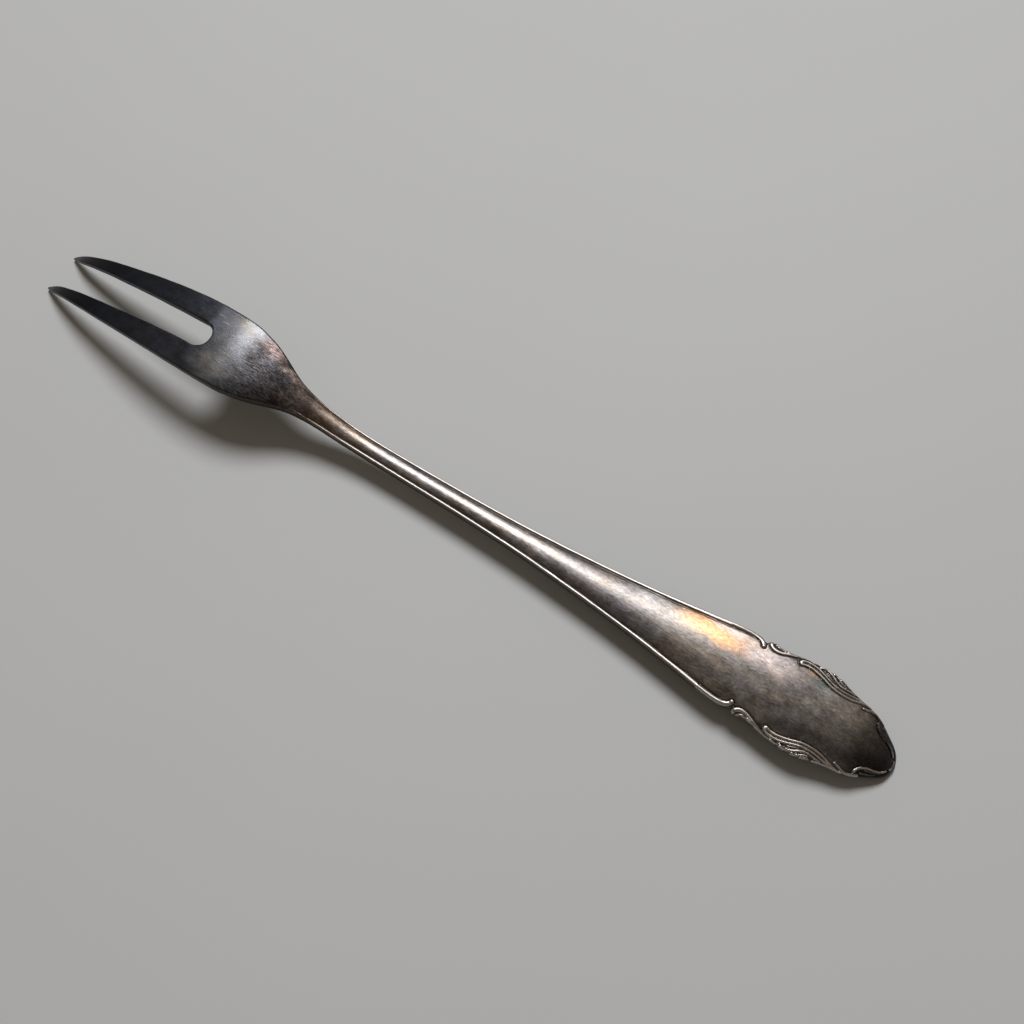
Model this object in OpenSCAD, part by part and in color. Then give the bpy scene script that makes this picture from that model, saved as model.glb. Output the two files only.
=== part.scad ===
// Two-tined cold meat fork, struck in one piece of silver-plated metal.
// A thread runs along both edges of the stem and ends in a scroll, and a
// border of scrolls and leaves goes round the end of the handle.
// The fork lies face down, on the tips of its tines and the end of its handle.
// Millimetres: X runs from the tines to the handle's end, Y across, Z up.
// The origin is on the table, under the middle of the fork.

/* [Tines] */
// Free length of the tines, from their tips to the root of the slot
tine_l = 37.2; // [31:0.1:44]
// Width of the slot at its root
slot_w = 4.6; // [3.8:0.1:5.5]
// Clear gap between the tips of the tines
tip_gap = 6.9; // [5.7:0.1:8.2]
// Width of a tine at its blunt tip
tip_w = 0.3; // [0.2:0.05:0.4]
// Thickness of a tine at its tip
tip_t = 0.7; // [0.5:0.05:0.9]
// Thickness of the tines at the root of the slot
tine_t = 1.4; // [1.1:0.05:1.7]

/* [Head] */
// Width of the head across its shoulders
head_w = 13.5; // [11:0.1:16]
// Length of the head, from the root of the slot to the stem
head_l = 22.8; // [19:0.1:27.2]
// Height of the head's back above the table
head_h = 11.7; // [9.8:0.1:14.2]
// Thickness of the head at its edge
head_t = 1.7; // [1.4:0.05:2.1]
// Rise of the head's rounded back above its edge
head_dome = 0.45; // [0.3:0.05:0.6]
// Depth of the hollow across the head's face
head_hollow = 0.35; // [0.2:0.05:0.5]

/* [Stem] */
// Length of the stem, from the head to the first scroll
stem_l = 77; // [64:0.5:92]
// Width of the stem where it is narrowest
stem_w = 3.3; // [2.7:0.1:4]
// Thickness of the stem at its edge
stem_t = 1.7; // [1.4:0.05:2.1]
// Height of the stem's back above the table
stem_h = 4.7; // [3.9:0.1:5.6]
// Rise of the stem's rounded back and face above their edges
stem_dome = 0.4; // [0.3:0.05:0.6]

/* [Handle] */
// Length of the scrolled end of the handle
scroll_l = 28; // [23:0.1:34]
// Width of the handle where the threads end
shoulder_w = 12.9; // [11.8:0.1:13.6]
// Greatest width of the handle, across the leaves
handle_w = 14.6; // [13.6:0.1:15.7]
// Thickness of the handle at its edge
handle_t = 1.4; // [1.1:0.05:1.7]
// Thickness of the handle at its very end
end_t = 1.1; // [0.9:0.05:1.4]
// Rise of the handle's rounded back and face above their edges
handle_dome = 0.45; // [0.3:0.05:0.6]

/* [Border] */
// Width of the thread along the stem's edge
thread_w = 0.55; // [0.4:0.05:0.7]
// Height of the thread above the edge
thread_h = 0.16; // [0.1:0.01:0.2]
// Width of the groove inside the thread
groove_w = 0.3; // [0.2:0.05:0.4]
// Depth of the groove inside the thread
groove_d = 0.14; // [0.1:0.01:0.2]
// Width of a scroll's rib at its broad end
rib_w = 0.6; // [0.5:0.05:0.7]
// Height of a scroll's rib above the handle
rib_h = 0.3; // [0.2:0.05:0.4]

/* [Hidden] */

head_at = tine_l + 0.8;
stem_at = tine_l + head_l;
scroll_at = stem_at + stem_l;
fork_l = scroll_at + scroll_l;
rib_sunk = 0.25;
edge_round = 0.18;
cut_past = 1;
section_step = 6;
eye_facets = 8;

// Shares of a stretch: how far along it is, and how far its width has gone
// from the first end's to the second's
tine_edge = [[0, 0], [0.028, 0.1], [0.1, 0.23], [0.21, 0.39], [0.34, 0.54],
    [0.53, 0.73], [0.74, 0.9], [0.9, 0.98]];
head_edge = [[0, 0], [0.18, 0.03], [0.36, 0.18], [0.45, 0.31], [0.54, 0.48], [0.63, 0.66],
    [0.72, 0.81], [0.82, 0.91], [0.91, 0.96]];
stem_edge = [[0.1, 0], [0.31, 0.03], [0.47, 0.1], [0.62, 0.27], [0.78, 0.52], [0.91, 0.81],
    [0.96, 0.94]];
slot_edge = [[0, 0], [0.055, 0.28], [0.11, 0.44], [0.2, 0.53], [0.32, 0.59], [0.58, 0.76],
    [0.89, 0.96], [1, 1]];

// The scrolled end: share of its length, and of half the handle's width
scroll_edge = [[0.04, 0.88], [0.082, 0.83], [0.1, 0.89], [0.132, 0.91], [0.18, 0.89],
    [0.22, 0.9], [0.32, 0.96], [0.46, 1], [0.54, 0.96], [0.61, 0.87], [0.68, 0.81],
    [0.75, 0.765], [0.82, 0.667], [0.89, 0.51], [0.94, 0.39], [0.97, 0.28], [0.99, 0.165], [1, 0.03]];
// The same end without the notches of the border, which the rounding of the back follows
plain_edge = [[0.25, 0.96], [0.46, 1], [0.68, 0.86], [0.86, 0.59], [1, 0.14]];

// Each rib of the border: its course, and its width and height against rib_w and rib_h
thread_scroll = [[0.018, 0.85], [0.046, 0.81], [0.066, 0.756], [0.078, 0.7]];
small_scroll = [[0.119, 0.88], [0.103, 0.836], [0.113, 0.772], [0.141, 0.745], [0.172, 0.764],
    [0.207, 0.818], [0.241, 0.875], [0.275, 0.92], [0.31, 0.95]];
small_rib = [[0.135, 0.87], [0.154, 0.85], [0.186, 0.855], [0.22, 0.885], [0.255, 0.92]];
leaf_scroll = [[0.295, 0.771], [0.307, 0.843], [0.331, 0.892], [0.365, 0.91], [0.4, 0.879],
    [0.435, 0.806], [0.477, 0.735], [0.526, 0.69], [0.574, 0.68], [0.622, 0.7], [0.67, 0.732],
    [0.718, 0.755]];
leaf_ribs = [
    [[0.379, 0.943], [0.421, 0.877], [0.4625, 0.803], [0.505, 0.752], [0.56, 0.729], [0.615, 0.738],
        [0.67, 0.762]],
    [[0.407, 0.972], [0.4275, 0.92], [0.469, 0.845], [0.511, 0.796], [0.566, 0.775], [0.615, 0.778]],
    [[0.452, 0.975], [0.489, 0.899], [0.524, 0.85], [0.566, 0.83], [0.605, 0.83]],
    [[0.49, 0.975], [0.531, 0.905], [0.565, 0.882]]];
tail_scroll = [[0.6975, 0.641], [0.726, 0.685], [0.761, 0.7], [0.796, 0.675], [0.831, 0.615],
    [0.86, 0.55]];
end_scroll = [[0.806, 0.564], [0.812, 0.495], [0.834, 0.422], [0.867, 0.368], [0.906, 0.32],
    [0.943, 0.25], [0.965, 0.18]];
end_rib = [[0.84, 0.55], [0.858, 0.492], [0.893, 0.42], [0.927, 0.35]];
end_shell = [[0.955, 0.12], [0.972, 0.1], [0.984, 0.05], [0.984, 0]];

function blend(a, b, share) = a + (b - a) * share;

// Height at x of a smooth curve through points, which never swings past them
function stretch_of(points, x, i = 0) =
    i >= len(points) - 2 || x < points[i + 1][0] ? i : stretch_of(points, x, i + 1);
function rise(points, i) = (points[i + 1][1] - points[i][1]) / (points[i + 1][0] - points[i][0]);
function slope_at(points, i) =
    i == 0 ? rise(points, 0)
    : i == len(points) - 1 ? rise(points, i - 1)
    : let (a = rise(points, i - 1), b = rise(points, i)) a * b <= 0 ? 0 : 2 * a * b / (a + b);
function curve(points, x) =
    let (i = stretch_of(points, x),
        run = points[i + 1][0] - points[i][0],
        t = (x - points[i][0]) / run,
        from = points[i][1], to = points[i + 1][1])
    from * (1 + 2 * t) * pow(1 - t, 2) + to * t * t * (3 - 2 * t)
        + run * (slope_at(points, i) * t * pow(1 - t, 2) - slope_at(points, i + 1) * t * t * (1 - t));

// Half the fork's width along its length
tip_edge_y = tip_gap / 2 + tip_w;
stem_start_w = stem_w * 1.12;
outline = concat(
    [for (p = tine_edge) [head_at * p[0], blend(tip_edge_y, head_w / 2, p[1])]],
    [for (p = head_edge) [blend(head_at, stem_at, p[0]), blend(head_w, stem_start_w, p[1]) / 2]],
    [for (p = stem_edge) [blend(stem_at, scroll_at, p[0]), blend(stem_w, shoulder_w, p[1]) / 2]],
    [[scroll_at, shoulder_w / 2]],
    [for (p = scroll_edge) [scroll_at + scroll_l * p[0], p[1] * handle_w / 2]]);
function half_w(s) = curve(outline, s);
plain_outline = concat(
    [for (p = outline) if (p[0] <= scroll_at) p],
    [for (p = plain_edge) [scroll_at + scroll_l * p[0], p[1] * handle_w / 2]]);
function plain_half_w(s) = max(half_w(s), curve(plain_outline, s));

// Height of the edge of the fork's back: an arc over the tines, a bend down to the stem,
// and a turned-down end that rests on the table
tip_z = tip_t;
end_z = end_t;
tine_bend = (pow(head_at, 2) + pow(head_h - tip_z, 2)) / (2 * (head_h - tip_z));
bend_points = [for (p = [[0, 0], [0.06, 0.005], [0.16, 0.06], [0.27, 0.17], [0.37, 0.34], [0.48, 0.54],
        [0.59, 0.74], [0.72, 0.91], [0.86, 0.975], [1, 1]])
    [blend(head_at, stem_at + stem_l * 0.2, p[0]), blend(head_h, stem_h, p[1])]];
handle_points = [for (p = [[0, 0], [0.4, 0], [0.62, 0.03], [0.77, 0.1], [0.85, 0.2], [0.925, 0.44],
        [0.97, 0.7], [1, 1]])
    [blend(stem_at + stem_l * 0.5, fork_l, p[0]), blend(stem_h, end_z, p[1])]];
function back_edge_z(s) =
    s < head_at ? head_h - tine_bend + sqrt(pow(tine_bend, 2) - pow(head_at - s, 2))
    : s < bend_points[len(bend_points) - 1][0] ? curve(bend_points, s)
    : s < handle_points[0][0] ? stem_h
    : curve(handle_points, s);

// Thickness at the edge, and rise of the back and of the face in the middle
thickness_points = [[0, tip_t], [head_at * 0.08, blend(tip_t, tine_t, 0.5)], [tine_l, tine_t],
    [blend(head_at, stem_at, 0.6), head_t], [stem_at, stem_t], [blend(stem_at, scroll_at, 0.6), stem_t],
    [scroll_at, handle_t], [fork_l, end_t]];
back_dome_points = [[0, 0.1], [head_at * 0.6, 0.15], [head_at, head_dome],
    [blend(head_at, stem_at, 0.7), stem_dome], [blend(stem_at, scroll_at, 0.6), stem_dome],
    [scroll_at, handle_dome], [fork_l - scroll_l * 0.2, handle_dome], [fork_l, 0.02]];
face_dome_points = [[0, 0], [head_at * 0.6, 0], [head_at, -head_hollow],
    [blend(head_at, stem_at, 0.35), -head_hollow], [blend(head_at, stem_at, 0.9), stem_dome],
    [blend(stem_at, scroll_at, 0.6), stem_dome], [scroll_at, handle_dome * 0.6],
    [fork_l - scroll_l * 0.2, handle_dome * 0.6], [fork_l, 0]];
thread_points = [[0, 0], [blend(head_at, stem_at, 0.75), 0], [blend(stem_at, scroll_at, 0.04), 1],
    [blend(scroll_at, fork_l, 0.03), 1], [blend(scroll_at, fork_l, 0.075), 0], [fork_l, 0]];
function edge_t(s) = curve(thickness_points, s);
function dome(points, s, y) = curve(points, s) * (1 - min(1, pow(y / plain_half_w(s), 2)));
function back_z(s, y) = back_edge_z(s) + dome(back_dome_points, s, y);
function face_z(s, y) = back_edge_z(s) - edge_t(s) - dome(face_dome_points, s, y);

// Half of one side of a section, from the middle to the edge: distance from the middle,
// and height above the plain surface
function side_steps(s) =
    let (w = half_w(s), k = curve(thread_points, s),
        thread = min(thread_w, w * 0.4), groove = min(groove_w, w * 0.2), field = w - thread - groove)
    [[0, 0], [field * 0.55, 0], [field, 0], [field + groove / 2, -groove_d * k],
        [w - thread * 0.85, thread_h * 0.45 * k], [w - thread * 0.5, thread_h * k],
        [w - thread * 0.12, thread_h * 0.5 * k], [w, -edge_round]];
function section(s) =
    let (steps = side_steps(s), n = len(steps))
    concat(
        [for (i = [n - 1:-1:0]) [-steps[i][0], back_z(s, steps[i][0]) + steps[i][1]]],
        [for (i = [1:n - 1]) [steps[i][0], back_z(s, steps[i][0]) + steps[i][1]]],
        [for (i = [n - 1:-1:0]) [steps[i][0], face_z(s, steps[i][0]) - steps[i][1]]],
        [for (i = [1:n - 1]) [-steps[i][0], face_z(s, steps[i][0]) - steps[i][1]]]);

// Skin over rings of points, each ring joined to the next and both ends closed
module skin(rings) {
    n = len(rings[0]);
    last = len(rings) - 1;
    polyhedron(
        points = [for (ring = rings) each ring],
        faces = concat(
            [[for (i = [n - 1:-1:0]) i]],
            [for (r = [0:last - 1]) for (i = [0:n - 1])
                let (j = (i + 1) % n, here = r * n, next = here + n)
                each [[here + i, here + j, next + i], [here + j, next + j, next + i]]],
            [[for (i = [0:n - 1]) last * n + i]]));
}

module blank() {
    stations = [for (i = [0:len(outline) - 2])
        let (from = outline[i][0], to = outline[i + 1][0], count = ceil((to - from) / section_step))
        for (k = [0:count - 1]) blend(from, to, k / count)];
    skin([for (s = concat(stations, [fork_l])) [for (p = section(s)) [s, p[0], p[1]]]]);
}

// The slot between the tines, open at the tips and round at its root
module slot() {
    root_r = slot_w / 2;
    straight = tine_l - root_r;
    side = [for (p = slot_edge) [straight * p[0], blend(tip_gap / 2, root_r, p[1])]];
    root = [for (a = [75:-15:-75]) [straight + root_r * cos(a), root_r * sin(a)]];
    far_side = [for (i = [len(side) - 1:-1:0]) [side[i][0], -side[i][1]]];
    translate([0, 0, -cut_past]) linear_extrude(height = head_h + head_dome + 2 * cut_past)
        polygon(concat([[-cut_past, tip_gap / 2]], side, root, far_side, [[-cut_past, -tip_gap / 2]]));
}

// One rib of the border. It follows its course over the surface, rounded on top and sunk into
// the metal, and narrows from its first end to its last. up is 1 on the back and -1 on the face.
rib_section = [[-1, -1], [-0.85, 0.35], [-0.4, 0.95], [0.4, 0.95], [0.85, 0.35], [1, -1]];
function rib_place(p) = [scroll_at + scroll_l * p[0], handle_w / 2 * p[1]];
function surface_z(s, y, up) = up > 0 ? back_z(s, y) : face_z(s, y);
module rib(course, broad, narrow, height, up) {
    path = [for (p = course) rib_place(p)];
    last = len(path) - 1;
    rings = [for (i = [0:last])
        let (ahead = path[min(i + 1, last)] - path[max(i - 1, 0)],
            across = [-ahead[1], ahead[0]] / norm(ahead),
            share = i / last,
            half = rib_w / 2 * blend(broad, narrow, share),
            lift = rib_h * height * (i == last ? 0.5 : 1),
            centre_z = surface_z(path[i][0], path[i][1], up))
        [for (q = rib_section)
            [path[i][0] + across[0] * q[0] * half, path[i][1] + across[1] * q[0] * half,
                centre_z + up * (q[1] > 0 ? q[1] * lift : -rib_sunk)]]];
    skin(up > 0 ? rings : [for (ring = rings) [for (i = [len(ring) - 1:-1:0]) ring[i]]]);
}

// The round eye at the broad end of a scroll
module eye(course, size, up) {
    at = rib_place(course[0]);
    toward = rib_place(course[1]);
    hull() {
        for (p = [at, blend(at, toward, 0.4)])
            translate([p[0], p[1], surface_z(p[0], p[1], up)])
                scale([1, 1, 0.75]) sphere(r = rib_w / 2 * size, $fn = eye_facets);
    }
}

module border(up) {
    rib(thread_scroll, 1, 1.05, 1, up);
    eye([for (i = [3:-1:0]) thread_scroll[i]], 1.15, up);
    rib(small_scroll, 1, 0.5, 1, up);
    eye(small_scroll, 1.1, up);
    rib(small_rib, 0.55, 0.4, 0.8, up);
    rib(leaf_scroll, 0.95, 0.5, 1, up);
    eye(leaf_scroll, 1.15, up);
    for (course = leaf_ribs) rib(course, 0.6, 0.4, 0.85, up);
    rib(tail_scroll, 0.65, 0.5, 0.8, up);
    rib(end_scroll, 0.65, 0.5, 0.85, up);
    rib(end_rib, 0.5, 0.4, 0.7, up);
    rib(end_shell, 0.6, 0.5, 0.6, up);
}

module fork() {
    color("silver")
        translate([-fork_l / 2, 0, 0]) {
            difference() {
                blank();
                slot();
            }
            for (up = [1, -1]) {
                border(up);
                mirror([0, 1, 0]) border(up);
            }
        }
}

fork();
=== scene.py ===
# %% [markdown]
# A cold meat fork, lying face down on a pale stone top. This lesson builds it in Blender
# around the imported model, which is loaded first and gives the real size of everything.

# %% load the frame
import math

import bpy
import numpy as np
from mathutils import Matrix, Vector
from mathutils.kdtree import KDTree


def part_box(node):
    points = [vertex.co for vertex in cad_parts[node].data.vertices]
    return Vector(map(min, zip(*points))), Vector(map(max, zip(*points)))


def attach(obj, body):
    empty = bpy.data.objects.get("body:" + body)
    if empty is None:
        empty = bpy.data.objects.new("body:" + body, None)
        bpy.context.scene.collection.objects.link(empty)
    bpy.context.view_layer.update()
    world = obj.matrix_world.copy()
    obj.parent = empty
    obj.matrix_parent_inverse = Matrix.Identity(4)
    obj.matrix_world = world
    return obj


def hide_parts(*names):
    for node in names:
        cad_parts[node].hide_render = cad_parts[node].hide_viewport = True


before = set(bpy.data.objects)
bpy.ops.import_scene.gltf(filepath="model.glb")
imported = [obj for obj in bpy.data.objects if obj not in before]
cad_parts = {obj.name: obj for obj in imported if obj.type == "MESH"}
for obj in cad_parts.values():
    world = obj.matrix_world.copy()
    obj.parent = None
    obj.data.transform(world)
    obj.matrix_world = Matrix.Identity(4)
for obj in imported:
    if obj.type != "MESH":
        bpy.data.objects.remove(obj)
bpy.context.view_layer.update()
low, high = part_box("fork")
MM = 0.001
fork_l = (high.x - low.x) / MM
handle_w = (high.y - low.y) / MM
fork_h = high.z / MM
print("fork", round(fork_l, 2), "mm long,", round(handle_w, 2), "mm wide,", round(fork_h, 2), "mm high")

# %% [markdown]
# The camera comes first, because every later choice is judged through it. It is held
# about 18 centimetres above the fork and a little in front of it, and it looks down at
# 21 degrees from straight down, as a telephone held by hand does. A matrix of its right,
# its up and its line of sight sets it in one go, with no guessing at three turns.

# %% camera
PHOTO_WIDTH = 1024
FOCAL_PIXELS = 1180
SENSOR_WIDTH = 36.0
NEAREST_SEEN = 0.01
CAMERA_AT = Vector((50.05, -53.5, 182.65)) * MM
AIMED_AT = Vector((10.76, 4.61, 0.0)) * MM
PHOTO_RIGHT = Vector((0.829, 0.559, 0.0)).normalized()
CAMERA_ROLL = math.radians(-1.627)

camera_data = bpy.data.cameras.new("camera")
camera_data.sensor_width = SENSOR_WIDTH
camera_data.lens = SENSOR_WIDTH * FOCAL_PIXELS / PHOTO_WIDTH
camera_data.clip_start = NEAREST_SEEN
camera = bpy.data.objects.new("camera", camera_data)
bpy.context.scene.collection.objects.link(camera)
sight = (AIMED_AT - CAMERA_AT).normalized()
level_right = (PHOTO_RIGHT - sight * PHOTO_RIGHT.dot(sight)).normalized()
level_up = level_right.cross(sight)
right = level_right * math.cos(CAMERA_ROLL) + level_up * math.sin(CAMERA_ROLL)
up = level_up * math.cos(CAMERA_ROLL) - level_right * math.sin(CAMERA_ROLL)
turn = Matrix((right, up, -sight)).transposed()
camera.matrix_world = Matrix.Translation(CAMERA_AT) @ turn.to_4x4()
bpy.context.scene.camera = camera
bpy.context.scene.view_settings.view_transform = "Standard"
print("lens", round(camera_data.lens, 2), "mm")

# %% [markdown]
# The fork lies on a pale stone top. The photo's stone has veins and stains, but here it is
# plain, with clouds that are nearly too faint to see, so that nothing on it draws the eye.
# A photograph of stone would do too, but a noise needs no file and never repeats.

# %% the stone top
FLOOR_WIDTH = 3.0
FLOOR_COLOUR = (0.448, 0.458, 0.464)
STONE_UNEVEN = 0.035
STONE_CLOUD_SCALE = 9.0
STONE_CLOUD_DETAIL = 6.0
STONE_ROUGHNESS = 0.6
STONE_SPECULAR = 0.25


def feed(socket, value):
    """Links a socket to another node's output, or sets it to a plain value or colour."""
    if isinstance(value, bpy.types.NodeSocket):
        socket.id_data.links.new(value, socket)
    elif socket.type == "RGBA":
        socket.default_value = (*value, 1.0)
    else:
        socket.default_value = value


def stone_material():
    stone = bpy.data.materials.new("pale_stone")
    stone.use_nodes = True
    nodes = stone.node_tree.nodes
    shader = nodes["Principled BSDF"]
    shader.inputs["Roughness"].default_value = STONE_ROUGHNESS
    shader.inputs["Specular IOR Level"].default_value = STONE_SPECULAR
    place = nodes.new("ShaderNodeTexCoord")
    cloud = nodes.new("ShaderNodeTexNoise")
    cloud.inputs["Scale"].default_value = STONE_CLOUD_SCALE
    cloud.inputs["Detail"].default_value = STONE_CLOUD_DETAIL
    feed(cloud.inputs["Vector"], place.outputs["Object"])
    tone = nodes.new("ShaderNodeMix")
    tone.data_type = "RGBA"
    feed(tone.inputs["A"], [part * (1 - STONE_UNEVEN) for part in FLOOR_COLOUR])
    feed(tone.inputs["B"], [part * (1 + STONE_UNEVEN) for part in FLOOR_COLOUR])
    feed(tone.inputs["Factor"], cloud.outputs["Fac"])
    feed(shader.inputs["Base Color"], tone.outputs["Result"])
    return stone


bpy.ops.object.select_all(action="DESELECT")
bpy.ops.mesh.primitive_plane_add(size=FLOOR_WIDTH)
floor = bpy.context.object
floor.name = "stone_top"
floor.data.materials.append(stone_material())
print("stone top", FLOOR_WIDTH, "m wide")

# %% [markdown]
# Metal shows what is around it more than it shows itself, so the light is part of the
# finish. One large soft lamp stands behind the fork. The world is pale round the horizon,
# as the walls of a room are, and darker overhead, which gives the metal its dark side. A
# picture of a room could light it too, but two tones are easier to match to a photo.

# %% lamp and world
LAMP_TOWARD = Vector((-0.192, 0.479, 0.857)).normalized()
LAMP_AWAY = 1.2
LAMP_LENGTH = 0.54
LAMP_WIDTH = 0.47
LAMP_POWER = 12.95
SKY_AT_HORIZON = (0.4, 0.37, 0.33)
SKY_OVERHEAD = (0.168, 0.14, 0.11)
HORIZON_BAND = 0.36

lamp_data = bpy.data.lights.new("softbox", "AREA")
lamp_data.shape = "ELLIPSE"
lamp_data.size = LAMP_LENGTH
lamp_data.size_y = LAMP_WIDTH
lamp_data.energy = LAMP_POWER
lamp = bpy.data.objects.new("softbox", lamp_data)
lamp.location = LAMP_TOWARD * LAMP_AWAY
lamp.rotation_euler = LAMP_TOWARD.to_track_quat("Z", "Y").to_euler()
bpy.context.scene.collection.objects.link(lamp)

world = bpy.data.worlds.new("studio")
world.use_nodes = True
bpy.context.scene.world = world
sky_nodes = world.node_tree.nodes
sky_place = sky_nodes.new("ShaderNodeTexCoord")
sky_split = sky_nodes.new("ShaderNodeSeparateXYZ")
feed(sky_split.inputs["Vector"], sky_place.outputs["Generated"])
sky_level = sky_nodes.new("ShaderNodeMapRange")
sky_level.interpolation_type = "SMOOTHSTEP"
sky_level.inputs["From Max"].default_value = HORIZON_BAND
feed(sky_level.inputs["Value"], sky_split.outputs["Z"])
sky_tone = sky_nodes.new("ShaderNodeMix")
sky_tone.data_type = "RGBA"
feed(sky_tone.inputs["A"], SKY_AT_HORIZON)
feed(sky_tone.inputs["B"], SKY_OVERHEAD)
feed(sky_tone.inputs["Factor"], sky_level.outputs["Result"])
feed(sky_nodes["Background"].inputs["Color"], sky_tone.outputs["Result"])
print("lamp", LAMP_AWAY, "m away")

# %% [markdown]
# The fork is measured as a silversmith would: the half width and the height of the back,
# at a few places along its length, from the tips of the tines. A curve runs through them
# and never swings past them, so a narrow place stays as narrow as it was measured. Bezier
# handles could draw it too, but here both the outline and the heights use one formula.

# %% a smooth curve through a few places
def on_stretch(share, start, end, leaving, arriving, run=1.0):
    """Where a smooth curve is on one stretch, from its levels and its slopes at both ends."""
    level = start * (1 + 2 * share) * (1 - share) ** 2 + end * share * share * (3 - 2 * share)
    return level + run * (leaving * share * (1 - share) ** 2 - arriving * share * share * (1 - share))


def curve_through(places, at):
    """Heights at the given distances, on a smooth curve through (distance, height) places."""
    distance, height = np.array(places, float).T
    rise = np.diff(height) / np.diff(distance)
    slope = np.concatenate(([rise[0]], np.zeros(len(distance) - 2), [rise[-1]]))
    before = rise[:-1]
    after = rise[1:]
    same_way = before * after > 0
    total = np.where(same_way, before + after, 1.0)
    slope[1:-1] = np.where(same_way, 2 * before * after / total, 0.0)
    at = np.clip(np.asarray(at, float), distance[0], distance[-1])
    i = np.clip(np.searchsorted(distance, at, side="right") - 1, 0, len(distance) - 2)
    run = distance[i + 1] - distance[i]
    share = (at - distance[i]) / run
    return on_stretch(share, height[i], height[i + 1], slope[i], slope[i + 1], run)


sample = curve_through([(0, 0), (1, 1), (2, 1)], np.linspace(0, 2, 9))
print("a curve that levels off at 1 is nowhere higher than", round(sample.max(), 6))

# %% [markdown]
# The outline is wide at the head, narrow at the neck and wide again at the handle, where
# the border notches it. The slot that parts the tines tapers to a round root. A second,
# plain outline leaves the notches out, because the dome of the back takes no notice of
# them.

# %% the outline and the slot, in millimetres from the tips
HALF_WIDTH = [
    (0, 3.75), (1.06, 4.05), (3.8, 4.43), (8, 4.9), (12.9, 5.34), (20.1, 5.92), (28.1, 6.44),
    (34.2, 6.7), (38, 6.75), (42, 6.6), (46, 5.85), (48, 5.19), (50, 4.32), (52, 3.42),
    (54, 2.68), (56, 2.24), (58, 1.98), (60, 1.85), (67.7, 1.66), (84, 1.83), (96, 2.19),
    (108, 3.0), (120, 4.17), (130, 5.53), (134, 6.14), (137, 6.45), (138.1, 6.41), (139.3, 6.05),
    (139.8, 6.48), (140.7, 6.63), (142, 6.48), (143.2, 6.56), (146, 7.02), (149.9, 7.3),
    (152.1, 7.02), (154.1, 6.35), (156, 5.93), (158, 5.63), (160, 4.87), (161.9, 3.74),
    (163.3, 2.84), (164.2, 2.06), (164.7, 1.2), (165, 0.2)]
NOTCHES_FROM = 134
PLAIN_HALF_WIDTH = [place for place in HALF_WIDTH if place[0] <= NOTCHES_FROM] + [
    (144, 7.0), (150, 7.3), (156, 6.3), (161, 4.3), (165, 1.0)]
SLOT_HALF_WIDTH = [
    (0, 3.45), (1.9, 3.13), (3.8, 2.94), (7, 2.84), (11, 2.77), (20, 2.58), (31, 2.35), (34.9, 2.3)]
SLOT_ROOT_RADIUS = SLOT_HALF_WIDTH[-1][1]
SLOT_STRAIGHT = SLOT_HALF_WIDTH[-1][0]
SLOT_END = SLOT_STRAIGHT + SLOT_ROOT_RADIUS


def half_width(x):
    """Half the width of the fork at a distance from the tips."""
    return curve_through(HALF_WIDTH, x)


def plain_half_width(x):
    """Half the width without the notches of the border, which the rounded back follows."""
    return np.maximum(curve_through(PLAIN_HALF_WIDTH, x), half_width(x))


def slot_half_width(x):
    """Half the gap between the tines, and zero past the round root of the slot."""
    past_straight = np.clip(x - SLOT_STRAIGHT, 0, None)
    root = np.sqrt(np.clip(SLOT_ROOT_RADIUS ** 2 - past_straight ** 2, 0, None))
    return np.where(x < SLOT_STRAIGHT, curve_through(SLOT_HALF_WIDTH, x), root)


HEAD_ENDS = 50
head_half = max(half for x, half in HALF_WIDTH if x < HEAD_ENDS)
print("head", 2 * head_half, "mm wide, slot", round(SLOT_END, 1), "mm long")

# %% [markdown]
# The blank is a flat grid of metal, half of the fork, which a mirror doubles later. Its
# rows follow the fork's length: they lie wide apart on the plain stem, closer round the
# root of the slot, and a tenth of a millimetre apart under the scroll border. Its columns
# crowd along the edge in the same way, where the border is. A fine grid everywhere would
# be simpler, but it would spend its points where nothing happens.

# %% rows and columns of the half blank
def spaced(start, end, step):
    """Even steps from start up to end, which the next stretch begins with."""
    count = max(1, round((end - start) / step))
    return start + (end - start) * np.arange(count) / count


TIP_ROWS = [0, 0.05, 0.12, 0.22, 0.36, 0.55]
TINE_STEP = 0.8
HEAD_STEP = 0.45
STEM_FROM = 60.0
STEM_STEP = 1.2
BORDER_FROM = 133.0
BORDER_STEP = 0.1
END_FROM = 164.0
ROOT_ANGLES = np.radians(np.append(np.arange(0, 84, 7), [86, 88.5]))
PAST_ROOT = np.array([0.0, 0.03, 0.07, 0.12, 0.18, 0.25])
END_ANGLES = np.radians(np.arange(0, 91, 7.5))
rows = np.concatenate([
    TIP_ROWS,
    spaced(TINE_STEP, SLOT_STRAIGHT, TINE_STEP),
    SLOT_STRAIGHT + SLOT_ROOT_RADIUS * np.sin(ROOT_ANGLES),
    SLOT_END + PAST_ROOT,
    spaced(SLOT_END + HEAD_STEP, STEM_FROM, HEAD_STEP),
    spaced(STEM_FROM, BORDER_FROM, STEM_STEP),
    spaced(BORDER_FROM, END_FROM, BORDER_STEP),
    END_FROM + (fork_l - END_FROM) * np.sin(END_ANGLES)])
BORDER_COLUMNS = 28
FIELD_COLUMNS = 10
BORDER_DEPTH = 2.8
BORDER_SHARE = 0.72
WALL_LEVELS = 4
columns = BORDER_COLUMNS + FIELD_COLUMNS
print(len(rows), "rows,", columns + 1, "columns")

# %% [markdown]
# The grid is extruded down for its thickness. The wall that this leaves round the rim is
# cut into four levels, so that it has points to shade by. Its upright edges are chosen in
# code and in edge mode, because point mode would choose the edges of the rim as well.

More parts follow.
